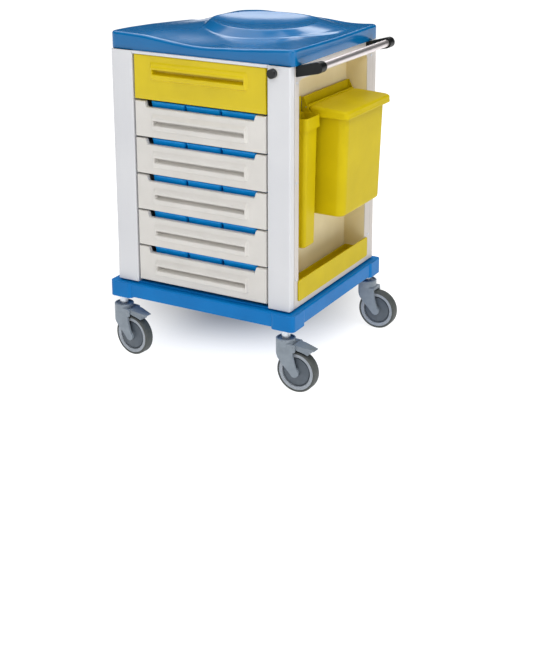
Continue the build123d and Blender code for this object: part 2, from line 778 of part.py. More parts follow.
# ---------------------------------------------------------------- side tray
with BuildPart() as side_tray:
    for depth, inset, mode in ((0, 0, Mode.ADD), (tray_wall, tray_wall, Mode.SUBTRACT)):
        with BuildSketch(facing_right(tray_in + depth)) as tray_end:
            with Locations(((tray_front + tray_back) / 2, (tray_z + tray_wall_top) / 2 + inset)):
                Rectangle(tray_back - tray_front - 2 * inset, tray_wall_top - tray_z)
            fillet(tray_end.vertices().group_by(Axis.Y)[0], tray_round - inset)
        extrude(amount=half_w + lip_gap - tray_in - 2 * depth, mode=mode)
    with BuildSketch(facing_right(half_w + lip_gap)):
        with Locations(((tray_lip_front + tray_lip_back) / 2, (tray_lip_low + tray_lip_high) / 2)):
            RectangleRounded(tray_lip_back - tray_lip_front, tray_lip_high - tray_lip_low, 6)
    extrude(amount=tray_lip_out - half_w - lip_gap)
save(side_tray, "side_tray")

# ---------------------------------------------------------------- casters
with BuildPart() as caster_stems:
    for place in headings.values():
        spot = (place[0] * caster_x, place[1] * caster_y)
        with BuildSketch(level(cap_high - cap_dish + 0.5)):
            with Locations(spot):
                Circle(stem_r)
        extrude(amount=base_bottom - cap_high + cap_dish - 0.5)
        with BuildSketch(level(base_bottom)):
            with Locations(spot):
                Circle(stem_top_r)
        extrude(amount=stem_top_h)
        with BuildSketch(level(stem_floor)):
            with Locations(spot):
                Circle(stem_pin_r)
        extrude(amount=cap_high - cap_dish + 0.5 - stem_floor)
save(caster_stems, "caster_stems")


def make_caster(name, sx, sy, heading):
    """One caster: forked housing, axle, wheel core and tyre; local u runs towards the trail."""
    along = Vector(cos(radians(heading)), sin(radians(heading)), 0)
    across = Vector(-sin(radians(heading)), cos(radians(heading)), 0)
    foot = Plane(origin=(body_x + sx * caster_x, body_y + sy * caster_y, 0), x_dir=along, z_dir=(0, 0, 1))
    side = Plane(origin=foot.origin, x_dir=along, z_dir=-across)
    leg_out = fork_gap + leg_t
    hub = (trail, wheel_r)

    with BuildPart() as fork:
        with BuildSketch(side):
            with BuildLine():
                Polyline((-30, cap_low), (-28, cap_low - 19), (-10, cap_low - 40), (3, cap_low - 55),
                         (trail - 11.5, wheel_r - 6),
                         (trail + 12.4, wheel_r - 4), (41.5, cap_low - 49), (36, cap_low - 28),
                         (hood_out, cap_low), close=True)
            make_face()
            with Locations(hub):
                Circle(boss_r)
        extrude(amount=leg_out, both=True)
        with BuildSketch(foot):
            Circle(cap_r)
            with Locations((40, 0)):
                Rectangle(80, 2 * leg_out)
        extrude(amount=cap_high, mode=Mode.INTERSECT)
        with BuildSketch(foot.offset(cap_low)):
            Circle(cap_r)
        extrude(amount=cap_high - cap_low)
        chamfer(fork.edges().group_by(Axis.Z)[-1], 2)
        if sy < 0:
            with BuildSketch(side):
                with Locations((pedal_x - 8, pedal_z - 6)):
                    RectangleRounded(28, 24, 5)
            extrude(amount=leg_out, both=True)
            with BuildSketch(side):
                with Locations((pedal_x + 12, pedal_z - 4)):
                    Rectangle(37, 36)
            extrude(amount=pedal_w / 2 + side_play, both=True, mode=Mode.SUBTRACT)
        with BuildSketch(side):
            with Locations(hub):
                Circle(well_r)
            with Locations((trail, 50)):
                Rectangle(200, 100)
        extrude(amount=fork_gap, both=True, mode=Mode.SUBTRACT)
        with BuildSketch(side):
            with Locations(hub):
                Circle(axle_r)
        extrude(amount=leg_out + 1, both=True, mode=Mode.SUBTRACT)
        if sy < 0:
            with BuildSketch(side):
                with Locations((pedal_x, pedal_z)):
                    Circle(pedal_pin_r + pedal_fit)
            extrude(amount=leg_out + 1, both=True, mode=Mode.SUBTRACT)
        with BuildSketch(foot.offset(cap_high)):
            Circle(cap_dish_r)
        extrude(amount=-cap_dish, mode=Mode.SUBTRACT)
        with BuildSketch(foot.offset(cap_high)):
            Circle(stem_pin_r + stem_fit)
        extrude(amount=-(cap_high - stem_floor + 1), mode=Mode.SUBTRACT)
    save(fork, f"{name}_fork")

    with BuildPart() as axle:
        with BuildSketch(side):
            with Locations(hub):
                Circle(axle_r)
        extrude(amount=leg_out, both=True)
    save(axle, f"{name}_axle")

    with BuildPart() as core:
        with BuildSketch(side):
            with Locations(hub):
                Circle(rim_r)
        extrude(amount=rim_w / 2, both=True)
        with BuildSketch(side):
            with Locations(hub):
                Circle(ring_in_r)
        extrude(amount=rim_w / 2 + 1, both=True, mode=Mode.SUBTRACT)
        with BuildSketch(side):
            with Locations(hub):
                Circle(ring_in_r)
        extrude(amount=web_w / 2, both=True)
        with BuildSketch(side):
            with Locations(hub):
                Circle(hub_r)
        extrude(amount=hub_w / 2, both=True)
        with BuildSketch(side):
            with Locations(hub):
                Circle(axle_r + axle_fit)
        extrude(amount=hub_w, both=True, mode=Mode.SUBTRACT)
    save(core, f"{name}_wheel")

    with BuildPart() as tyre:
        with BuildSketch(side):
            with Locations(hub):
                Circle(wheel_r)
        extrude(amount=wheel_w / 2, both=True)
        chamfer(tyre.edges(), 5, 3)
        with BuildSketch(side):
            with Locations(hub):
                Circle(rim_r)
        extrude(amount=wheel_w, both=True, mode=Mode.SUBTRACT)
    save(tyre, f"{name}_tyre")

    if sy < 0:
        with BuildPart() as pedal:
            with BuildSketch(side):
                with BuildLine():
                    shoe_r = wheel_r + shoe_gap
                    shoe_in = (pedal_x + 12, wheel_r + sqrt(shoe_r ** 2 - (pedal_x + 12 - trail) ** 2))
                    shoe_out = (trail + 38, wheel_r + sqrt(shoe_r ** 2 - 38 ** 2))
                    shoe_mid = (trail + 24, wheel_r + sqrt(shoe_r ** 2 - 24 ** 2))
                    ThreePointArc(shoe_in, shoe_mid, shoe_out)
                    Polyline(shoe_out, (trail + 42, pedal_z - 12), (pedal_reach - 3, pedal_z - 7),
                             (pedal_reach, pedal_z - 4), (pedal_x, pedal_z + 6), (pedal_x - 6, pedal_z),
                             (pedal_x, pedal_z - 6), shoe_in)
                make_face()
            extrude(amount=pedal_w / 2, both=True)
            with BuildSketch(foot):
                with BuildLine():
                    Polyline((pedal_x - 10, -pedal_w / 2), (pedal_x + 20, -pedal_w / 2),
                             (pedal_reach, -pedal_tip_w / 2), (pedal_reach, pedal_tip_w / 2),
                             (pedal_x + 20, pedal_w / 2), (pedal_x - 10, pedal_w / 2), close=True)
                make_face()
            extrude(amount=cap_high, mode=Mode.INTERSECT)
            with BuildSketch(side):
                with Locations((pedal_x, pedal_z)):
                    Circle(pedal_pin_r)
            extrude(amount=leg_out, both=True)
        save(pedal, f"{name}_pedal")


for corner, (sx, sy, heading) in headings.items():
    make_caster(corner, sx, sy, heading)
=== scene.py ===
import math

import bmesh
import bpy
import numpy as np
from mathutils import Matrix, Vector


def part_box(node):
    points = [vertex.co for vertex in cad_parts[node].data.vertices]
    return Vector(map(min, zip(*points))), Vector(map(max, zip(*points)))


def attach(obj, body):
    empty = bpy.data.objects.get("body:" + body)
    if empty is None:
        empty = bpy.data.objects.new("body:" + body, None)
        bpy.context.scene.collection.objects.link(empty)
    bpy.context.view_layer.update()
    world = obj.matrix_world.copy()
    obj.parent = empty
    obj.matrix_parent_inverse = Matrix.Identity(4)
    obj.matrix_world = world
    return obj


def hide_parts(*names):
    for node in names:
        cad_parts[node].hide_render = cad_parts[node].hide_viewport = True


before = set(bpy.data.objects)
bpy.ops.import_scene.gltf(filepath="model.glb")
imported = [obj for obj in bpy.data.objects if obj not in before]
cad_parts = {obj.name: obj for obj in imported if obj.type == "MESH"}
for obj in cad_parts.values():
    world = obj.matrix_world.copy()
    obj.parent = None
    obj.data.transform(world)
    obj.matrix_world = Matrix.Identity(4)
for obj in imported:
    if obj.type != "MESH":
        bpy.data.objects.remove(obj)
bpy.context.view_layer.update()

# Ward treatment trolley.  Lengths in this file are millimetres in the body's own frame: the
# origin is on the floor under the middle of the steel body, x to the right, y to the back,
# z up.  place() turns them into metres in the shared frame.
MM = 0.001
POST_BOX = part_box("front_posts")
BASE_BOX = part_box("base")
BODY_MIDDLE = np.array([
    (POST_BOX[0].x + POST_BOX[1].x) / 2, (BASE_BOX[0].y + BASE_BOX[1].y) / 2, 0.0])


def place(points):
    """Body-frame millimetres to shared-frame metres: scale, then add the body's middle."""
    return np.asarray(points, float) * MM + BODY_MIDDLE


def mid_mm(node):
    """Middle, lowest and highest corner of a CAD node, in body-frame millimetres."""
    low, high = (np.array(c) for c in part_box(node))
    low, high = (low - BODY_MIDDLE) / MM, (high - BODY_MIDDLE) / MM
    return (low + high) / 2, low, high


# ---------------------------------------------------------------- shape tools
def step(t):
    """Smooth step from 0 to 1: three t squared less two t cubed, with t held in 0 to 1."""
    t = np.clip(t, 0.0, 1.0)
    return t * t * (3.0 - 2.0 * t)


def soft_least(a, b, reach):
    """Lesser of two heights, rounded where they cross: the lesser, less a quarter of reach times
    the square of how close they are as a share of reach."""
    near = np.maximum(reach - np.abs(a - b), 0.0) / reach
    return np.minimum(a, b) - near * near * reach / 4.0


def eased(at, stations, values, window):
    """Straight lines through the stations, averaged over a window so that no corner shows."""
    shifts = np.linspace(-window / 2, window / 2, 9)
    return np.mean([np.interp(at + s, stations, values) for s in shifts], axis=0)


def skin(rows, loop=True, ends=False):
    """Vertices and faces of a skin over rows of points: each face joins two neighbouring points
    of one row to the same two of the next.  loop joins a row's last point to its first, and
    ends joins the last row to the first."""
    rows = np.asarray(rows, float)
    count, wide = rows.shape[:2]
    index = np.arange(count * wide).reshape(count, wide)
    across = np.concatenate([index, index[:, :1]], axis=1) if loop else index
    down = np.concatenate([across, across[:1]], axis=0) if ends else across
    faces = np.stack([down[:-1, :-1], down[:-1, 1:], down[1:, 1:], down[1:, :-1]], axis=-1)
    return rows.reshape(-1, 3), faces.reshape(-1, 4)


def capped(rows):
    """Rows closed at both ends: a row squeezed onto the middle of the first, and of the last."""
    rows = np.asarray(rows, float)
    first = np.repeat(rows[:1].mean(axis=1, keepdims=True), rows.shape[1], axis=1)
    last = np.repeat(rows[-1:].mean(axis=1, keepdims=True), rows.shape[1], axis=1)
    return np.concatenate([first, rows, last], axis=0)


def rounded(half_a, half_b, radius, corner_points=8):
    """Rounded rectangle as a loop of (a, b): a quarter circle about each corner's own centre."""
    radius = min(radius, half_a, half_b)
    turn = np.linspace(0, math.pi / 2, corner_points)
    quarter = np.stack([np.cos(turn), np.sin(turn)], axis=1) * radius
    spin = [np.array([[c, s], [-s, c]]) for c, s in ((1, 0), (0, 1), (-1, 0), (0, -1))]
    signs = np.array([[1, 1], [-1, 1], [-1, -1], [1, -1]])
    middle = np.array([half_a - radius, half_b - radius])
    return np.concatenate([quarter @ spin[i] + signs[i] * middle for i in range(4)])


def stacked(sections, corner_points=8):
    """Rows of rounded rectangles, each section (mid a, mid b, half a, half b, radius, height)."""
    rows = []
    for a, b, half_a, half_b, radius, height in sections:
        loop = rounded(half_a, half_b, radius, corner_points) + (a, b)
        rows.append(np.column_stack([loop, np.full(len(loop), float(height))]))
    return np.array(rows)


def turned(profile, points=72):
    """Rows of a turned shape: each (radius, height) of the profile swept round the height axis."""
    turn = np.linspace(0, 2 * math.pi, points, endpoint=False)
    profile = np.asarray(profile, float)
    return np.stack([
        profile[:, :1] * np.cos(turn), profile[:, :1] * np.sin(turn),
        np.repeat(profile[:, 1:], points, axis=1)], axis=-1)


def arc(middle, radius, start, stop, points):
    """Points of a circular arc in the profile plane, angles in degrees."""
    turn = np.radians(np.linspace(start, stop, points))
    return np.column_stack([middle[0] + radius * np.cos(turn), middle[1] + radius * np.sin(turn)])


def build(name, parts, material, body, stands_for=(), crease=38.0):
    """One object from one or more skins: joins them, merges doubled points, turns the faces
    outwards, shades smoothly except over the crease angle, and hangs the object on its body."""
    points, faces, start = [], [], 0
    for part_points, part_faces in parts:
        points.append(place(part_points))
        faces.append(part_faces + start)
        start += len(part_points)
    mesh = bpy.data.meshes.new(name)
    mesh.from_pydata(np.concatenate(points).tolist(), [], np.concatenate(faces).tolist())
    shape = bmesh.new()
    shape.from_mesh(mesh)
    bmesh.ops.remove_doubles(shape, verts=shape.verts, dist=0.01 * MM)
    bmesh.ops.dissolve_degenerate(shape, edges=shape.edges, dist=0.002 * MM)
    bmesh.ops.recalc_face_normals(shape, faces=shape.faces)
    shape.to_mesh(mesh)
    shape.free()
    mesh.polygons.foreach_set("use_smooth", np.ones(len(mesh.polygons), bool))
    mesh.set_sharp_from_angle(angle=math.radians(crease))
    thing = bpy.data.objects.new(name, mesh)
    bpy.context.scene.collection.objects.link(thing)
    mesh.materials.append(material)
    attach(thing, body)
    if stands_for:
        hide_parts(*stands_for)
    return thing


# ---------------------------------------------------------------- finishes
def linear(hex_code):
    """sRGB hex to linear red, green, blue and a full alpha."""
    parts = [int(hex_code[i:i + 2], 16) / 255 for i in (1, 3, 5)]
    light = [p / 12.92 if p <= 0.04045 else ((p + 0.055) / 1.055) ** 2.4 for p in parts]
    return (*light, 1.0)


def add_node(tree, kind, inputs=None, **settings):
    """Adds one node: plain settings by name, and inputs by socket name or number, each either
    a value or another node's output to link."""
    node = tree.nodes.new(kind)
    for key, value in settings.items():
        setattr(node, key, value)
    for socket, value in (inputs or {}).items():
        if isinstance(value, bpy.types.NodeSocket):
            tree.links.new(value, node.inputs[socket])
        else:
            node.inputs[socket].default_value = value
    return node


def finish(name, light, dark, rough, rough_spread=0.05, grain=1.0, grain_depth=0.02, cloud=60.0,
           metal=0.0, ior=1.45, coat=0.0, stretch=(1.0, 1.0, 1.0)):
    """A surface with a slow drift between two close colours, a fine grain in relief and a
    roughness that drifts with it.  cloud and grain are sizes in millimetres, grain_depth the
    grain's height in millimetres; stretch draws the grain out along an axis."""
    material = bpy.data.materials.new(name)
    material.use_nodes = True
    tree = material.node_tree
    shader = tree.nodes["Principled BSDF"]
    spot = add_node(tree, "ShaderNodeTexCoord")
    laid = add_node(tree, "ShaderNodeMapping", {"Vector": spot.outputs["Object"], "Scale": stretch})
    drift = add_node(tree, "ShaderNodeTexNoise", {
        "Vector": spot.outputs["Object"], "Scale": 1.0 / (cloud * MM),
        "Detail": 3.0, "Roughness": 0.5})
    fine = add_node(tree, "ShaderNodeTexNoise", {
        "Vector": laid.outputs["Vector"], "Scale": 1.0 / (grain * MM),
        "Detail": 2.0, "Roughness": 0.6})
    spread = add_node(tree, "ShaderNodeMapRange", {
        "Value": drift.outputs["Fac"], "From Min": 0.3, "From Max": 0.7})
    tint = add_node(tree, "ShaderNodeMix", {
        "Factor": spread.outputs["Result"], "A": linear(dark), "B": linear(light)},
        data_type="RGBA")
    tree.links.new(tint.outputs["Result"], shader.inputs["Base Color"])
    polish = add_node(tree, "ShaderNodeMapRange", {
        "Value": fine.outputs["Fac"], "From Min": 0.3, "From Max": 0.7,
        "To Min": max(rough - rough_spread, 0.03), "To Max": rough + rough_spread})
    tree.links.new(polish.outputs["Result"], shader.inputs["Roughness"])
    relief = add_node(tree, "ShaderNodeBump", {
        "Height": fine.outputs["Fac"], "Strength": 1.0, "Distance": grain_depth * MM})
    tree.links.new(relief.outputs["Normal"], shader.inputs["Normal"])
    shader.inputs["Metallic"].default_value = metal
    if metal == 0.0:
        shader.inputs["IOR"].default_value = ior
    shader.inputs["Coat Weight"].default_value = coat
    return material


# Vacuum-formed ABS sheet, glossy with a faint ripple: sharp but soft-edged highlights.
TOP_ABS = finish("blue_abs_formed_sheet", "#006AA6", "#00639E", 0.17, 0.03, 2.2, 0.004, 120.0)
# Injection-moulded ABS for the base: satin, slightly mottled.
BASE_ABS = finish("blue_abs_moulded", "#0074BC", "#006CB2", 0.40, 0.06, 0.9, 0.012, 90.0, ior=1.25)
# Clear-blue polypropylene bins inside the drawers: smooth and a little waxy.
BIN_BLUE = finish("blue_polypropylene_moulded", "#08A3FA", "#0598F2", 0.30, 0.05, 0.8, 0.010, 50.0)
# Powder-coated steel: fine orange peel, about a millimetre across.
POST_STEEL = finish(
    "white_powder_coated_steel", "#D6D7DA", "#D1D2D6",
    0.36, 0.05, 1.1, 0.010, 160.0)
# The same coat in a warmer white on the side frame.
FRAME_STEEL = finish(
    "warm_white_powder_coated_steel", "#D0CAC4", "#C8C1BB",
    0.40, 0.05, 1.1, 0.010, 160.0)
# Cream coat inside the bay, duller where it is never wiped.
LINER_STEEL = finish(
    "cream_powder_coated_steel", "#F2E6C2", "#E8DAB2",
    0.55, 0.06, 1.2, 0.014, 120.0)
# Grey ABS drawer fronts with a spark-eroded grain.
FRONT_GREY = finish("warm_grey_abs_moulded", "#D8D5D0", "#D1CEC9", 0.42, 0.07, 0.7, 0.020, 80.0)
# Yellow ABS drawer front, same mould finish.
FRONT_YELLOW = finish("yellow_abs_moulded", "#D5BE00", "#CDB600", 0.38, 0.06, 0.7, 0.018, 80.0)
# Yellow polypropylene of the hang-on bins: smoother, with a waxy sheen.
BIN_YELLOW = finish(
    "yellow_polypropylene_moulded", "#CDB700", "#C4AE00",
    0.50, 0.05, 1.0, 0.010, 90.0, ior=1.25)
# Black glass-filled nylon: matt with fine sparkle.
ARM_NYLON = finish(
    "black_nylon_moulded", "#0D1112", "#080B0C",
    0.42, 0.08, 0.6, 0.030, 30.0, ior=1.35)
# Lock knob in black ABS.
KNOB_ABS = finish("black_abs_moulded", "#0B0C0C", "#070808", 0.30, 0.06, 0.6, 0.015, 12.0)
# Stainless tube, brushed round its length: the brush lines lie across the tube.
TUBE_STEEL = finish(
    "brushed_stainless_tube", "#E9E2E2", "#DDD6D6",
    0.42, 0.06, 0.5, 0.010, 40.0, metal=1.0,
    stretch=(1.0, 6.0, 1.0))
# Zinc-plated steel for stems, screws, rails and pins.
ZINC = finish("zinc_plated_steel", "#D2D7DE", "#C2C7CE", 0.30, 0.08, 0.6, 0.012, 9.0, metal=0.85)
# Pale acetal bezel round the lock.
BEZEL = finish("pale_acetal_turned", "#CFCFCB", "#C6C6C2", 0.40, 0.05, 0.6, 0.010, 10.0)
# Grey nylon caster housings: satin with soft mottling from the mould.
FORK_NYLON = finish("grey_nylon_moulded", "#88929C", "#7D8791", 0.40, 0.07, 0.8, 0.030, 18.0)
# Darker grey wheel disc and its paler ring.
DISC_NYLON = finish("slate_nylon_moulded", "#545D67", "#4C555E", 0.42, 0.07, 0.8, 0.030, 16.0)
RING_NYLON = finish("pale_grey_nylon_moulded", "#A2A9B1", "#979EA7", 0.40, 0.07, 0.8, 0.020, 16.0)
# Non-marking grey rubber tread, dull with dust-fine grain.
TYRE_RUBBER = finish("grey_tyre_rubber", "#4F5351", "#464A48", 0.62, 0.08, 0.7, 0.040, 14.0)
PEDAL_NYLON = finish("dark_grey_nylon_moulded", "#7F8993", "#747E88", 0.45, 0.07, 0.8, 0.030, 14.0)


# ---------------------------------------------------------------- CAD nodes that stay
def soft_shading_group():
    """Joins a CAD node's loose triangles and shades it smoothly, except over edges that turn
    by more than 35 degrees."""
    tree = bpy.data.node_groups.new("join_and_smooth", "GeometryNodeTree")
    tree.interface.new_socket("Geometry", in_out="INPUT", socket_type="NodeSocketGeometry")
    tree.interface.new_socket("Geometry", in_out="OUTPUT", socket_type="NodeSocketGeometry")
    come_in = add_node(tree, "NodeGroupInput")
    joined = add_node(tree, "GeometryNodeMergeByDistance", {
        "Geometry": come_in.outputs[0], "Distance": 0.005 * MM})
    smooth = add_node(tree, "GeometryNodeSetShadeSmooth", {
        "Geometry": joined.outputs[0], "Shade Smooth": True}, domain="FACE")
    angle = add_node(tree, "GeometryNodeInputMeshEdgeAngle")
    sharp = add_node(tree, "FunctionNodeCompare", {
        0: angle.outputs["Unsigned Angle"], 1: math.radians(35)},
        data_type="FLOAT", operation="GREATER_THAN")
    hard = add_node(tree, "GeometryNodeSetShadeSmooth", {
        "Geometry": smooth.outputs[0], "Selection": sharp.outputs[0], "Shade Smooth": False},
        domain="EDGE")
    go_out = add_node(tree, "NodeGroupOutput")
    tree.links.new(hard.outputs[0], go_out.inputs[0])
    return tree


JOIN_AND_SMOOTH = soft_shading_group()


def dress(node, material, edge=0.0):
    """Gives a CAD node its finish and, where edge is set, a small rounding of that many
    millimetres on its sharp edges."""
    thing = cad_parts[node]
    for material_slot in thing.material_slots:
        material_slot.material = material
    joined = thing.modifiers.new("join_and_smooth", "NODES")
    joined.node_group = JOIN_AND_SMOOTH
    if edge:
        rounding = thing.modifiers.new("edge_rounding", "BEVEL")
        rounding.width = edge * MM
        rounding.segments = 3
        rounding.limit_method = "ANGLE"
        rounding.angle_limit = math.radians(40)
        weighted = thing.modifiers.new("even_shading", "WEIGHTED_NORMAL")
        weighted.keep_sharp = True


for node, material, edge in (
    ("base", BASE_ABS, 3.0), ("floor_pan", BASE_ABS, 0.5),
    ("front_posts", POST_STEEL, 0.0), ("rear_posts", FRAME_STEEL, 0.0),
    ("left_panel", POST_STEEL, 0.3), ("back_panel", POST_STEEL, 0.3), ("top_rail", POST_STEEL, 0.8),
    ("side_frame", FRAME_STEEL, 0.6), ("bay_liner", LINER_STEEL, 0.8),
    ("inner_walls", POST_STEEL, 0.0),
    ("drawer_rails", ZINC, 0.0), ("bin_rail", ZINC, 0.4), ("frame_screws", ZINC, 0.4),
    ("caster_stems", ZINC, 0.5), ("handle_tube", TUBE_STEEL, 0.0), ("handle_arms", ARM_NYLON, 3.0),
    ("lock_bezel", BEZEL, 0.4), ("lock_knob", KNOB_ABS, 1.2), ("lock_cam", ZINC, 0.3),
    ("large_bin", BIN_YELLOW, 0.8), ("lid_pin", ZINC, 0.3),
    ("narrow_bin", BIN_YELLOW, 1.0), ("side_tray", BIN_YELLOW, 1.0),
):
    dress(node, material, edge)
for row in range(1, 7):
    dress(f"drawer_{row}_box", POST_STEEL, 0.4)
CORNERS = ("front_left", "front_right", "rear_left", "rear_right")
for corner in CORNERS:
    dress(f"{corner}_fork", FORK_NYLON, 1.2)
    dress(f"{corner}_axle", FORK_NYLON, 0.5)

# ---------------------------------------------------------------- worktop
TOP_HALF = (308.0, 270.0)
TOP_CORNER = 18.0
TOP_UNDER = 952.0
HOLLOW = 16.0         # the underside is this far above the side wall's lower edge
RING_MIDDLE = (15.0, 68.0)
CREST_HEIGHT = 1013.4
BOWL_FLOOR = 994.0
BOWL_POWER = 2.5      # how flat the bowl's floor is: a higher power is flatter
CREST_HALF = 14.0     # close grid lines this far to each side of the crest
TOE = 8.0             # the slope's toe reaches this far past its foot
RIM_ROUND = 8.0
TOP_RAYS = 480


def edge_distance(turn):
    """How far the worktop's rounded outline is from the ring's middle in each direction: halving
    on the signed distance to a rounded rectangle."""
    near, far = np.zeros_like(turn), np.full_like(turn, 500.0)
    for _ in range(40):
        half = (near + far) / 2
        x = np.abs(RING_MIDDLE[0] + half * np.cos(turn)) - TOP_HALF[0] + TOP_CORNER
        y = np.abs(RING_MIDDLE[1] + half * np.sin(turn)) - TOP_HALF[1] + TOP_CORNER
        signed = np.hypot(np.maximum(x, 0), np.maximum(y, 0)) + np.minimum(np.maximum(x, y), 0)
        outside = signed > TOP_CORNER
        near, far = np.where(outside, near, half), np.where(outside, half, far)
    return near


def land(x, y):
    """Height of the worktop without its ring: the front edge's scoop carried to the back, eased
    into the left and right rims' own heights over the outer strips, and into the back edge."""
    scoop = eased(x, [-303, -224, -182, -165, -120, -76, -28, 22, 72, 137, 201, 264, 303],
                  [1003, 1001, 999, 996, 991, 986, 982, 981, 984, 987, 992, 997, 1000], 40)
    left = eased(y, [-270, -175, -71, 38, 111, 181, 241, 270],
                 [1003, 1002, 997, 989, 983, 977, 968, 965], 60)
    right = eased(y, [-270, -150, 0, 270], [1000, 997, 995, 997], 60)
    back = eased(x, [-303, -250, -183, -101, 37, 144, 196, 246, 303],
                 [966, 985, 1003, 1010, 1006, 1000, 994, 993, 997], 50)
    scoop = scoop + (1000 - scoop) * 0.45 * step((y + 262) / 160)
    surface = (scoop + (left - 1003) * (1 - step((x + 303) / 200))
               + (right - 1000) * step((x - 190) / 113))
    return surface + (back - surface) * step((y - 150) / 112)


def worktop_rows():
    """Rays from the ring's middle to the outline.  Inside the crest the height is the bowl's
    floor plus a power of the distance; outside, a straight slope down to the land with a
    curved toe; the two meet in a rounded crest.  The rim turns down in a quarter circle to
    the side wall."""
    turn = np.linspace(0, 2 * math.pi, TOP_RAYS, endpoint=False)
    degrees = np.degrees(turn)
    around = np.concatenate([degrees - 360, degrees, degrees + 360])

    def ring(stations, values, window=24):
        """Values at directions in degrees, eased all the way round."""
        stations = np.array(stations)
        wide = np.concatenate([stations - 360, stations, stations + 360])
        return eased(degrees, wide, list(values) * 3, window)

    outline = edge_distance(turn) - RIM_ROUND
    foot = ring(
        [0, 30, 45, 60, 76, 102, 121, 143, 163, 187, 200, 226, 261, 280, 294, 306, 322, 343],
        [262, 258, 232, 206, 192, 190, 198, 208, 202, 192, 182, 176, 186, 200, 210, 214, 218, 234])
    foot = np.minimum(foot, outline - 4)
    crest = ring(
        [0, 29, 48, 76, 102, 121, 143, 163, 187, 196, 215, 236, 253, 270, 289, 306, 325, 350],
        [163, 168, 172, 168, 172, 178, 180, 174, 168, 160, 147, 142, 152, 163, 181, 186, 180, 166])
    crest = np.minimum(crest, foot - 10)
    share = np.linspace(0, 1, 25)[:, None]
    inside, past = crest - CREST_HALF, crest + CREST_HALF
    toe_end = foot + TOE
    rays = np.concatenate([
        share[1:] * inside, inside + share[1::2] * 2 * CREST_HALF,
        past + share[1::2] * (toe_end - past),
        toe_end + share[1:] * np.maximum(outline - toe_end, 0.5)])
    rays = np.minimum(rays, outline)
    x = RING_MIDDLE[0] + rays * np.cos(turn)
    y = RING_MIDDLE[1] + rays * np.sin(turn)
    ground = land(x, y)
    bowl = BOWL_FLOOR + (CREST_HEIGHT + 1 - BOWL_FLOOR) * (rays / crest) ** BOWL_POWER
    fall = np.maximum((foot - rays) / (foot - crest), 0.0)
    toe = np.clip((toe_end - rays) / (2 * TOE), 0, 1) ** 2 * 0.2
    slope = ground + (CREST_HEIGHT + 1 - ground) * np.maximum(fall, toe * (rays > crest))
    height = np.where(rays < toe_end, soft_least(bowl, slope, 5.0), ground)
    height = np.maximum(height, np.where(rays > crest, ground, 0))
    top = np.stack([x, y, height], axis=-1)
    middle = np.repeat([[[*RING_MIDDLE, BOWL_FLOOR]]], TOP_RAYS, axis=1)

    def band(inset, level_at, from_edge=False):
        """A loop inset from the outline, at a height or that far below the top's own edge."""
        reach = outline + RIM_ROUND - inset
        px = RING_MIDDLE[0] + reach * np.cos(turn)
        py = RING_MIDDLE[1] + reach * np.sin(turn)
        level = height[-1] - level_at if from_edge else np.full_like(px, level_at)
        return np.stack([px, py, level], axis=-1)[None]

    lean = np.radians(np.linspace(15, 90, 6))
    rim = [band(RIM_ROUND * (1 - math.sin(a)), RIM_ROUND * (1 - math.cos(a)), from_edge=True)
           for a in lean]
    under = [band(inset, TOP_UNDER + rise)
             for inset, rise in ((0, 2), (0.6, 0.6), (2, 0), (8, 0), (8.5, 14), (14, HOLLOW))]
    closing = np.repeat([[[*RING_MIDDLE, TOP_UNDER + HOLLOW]]], TOP_RAYS, axis=1)
    return np.concatenate([middle, top] + rim + under + [closing])


build("worktop_shell", [skin(worktop_rows())], TOP_ABS, "body", ["worktop"],
      crease=60)

# ---------------------------------------------------------------- drawer fronts
FACE_Y = -275.0
FRONT_THICK = 14.0
FRONT_HALF = 221.5
FRONT_ROUND = 3.0
PULL_HALF = 164.0
PULL_PROUD = 9.0
SLOT_HALF = 155.0
# Grid lines over the pull: height from its middle, and steps to reach it from the line before.
PULL_LINES = ((-20, 14), (-12, 3), (-4, 12), (3.8, 4), (5.8, 8), (10, 4), (28, 12))
NOTCH_HALF = 185.0
NOTCH_DEEP = 17.5


def pull_relief(x, z):
    """How far the front stands proud at x across and z above the pull's middle: a slow rise from
    the top, a flat crest and a quick fall at the bottom, faded out at both ends, with a slot
    whose roof is steep and whose floor slopes back out."""
    ends = step((PULL_HALF - np.abs(x)) / 8)
    swell = np.where(z > -2, step((26.5 - z) / 16), step((z + 27) / 5)) * ends * PULL_PROUD
    slot_end = step((SLOT_HALF - np.abs(x)) / 5)
    roof = step((5.4 - z) / 1.2)
    floor = step((z + 11.0) / 6.0)
    return swell - slot_end * roof * floor * 20.0


def lines(*stops):
    """Grid line places: each stop is (value, number of steps to reach it from the last)."""
    out = [stops[0][0]]
    for (before, _), (after, steps) in zip(stops, stops[1:]):
        out.extend(np.linspace(before, after, steps + 1)[1:])
    return np.array(out)


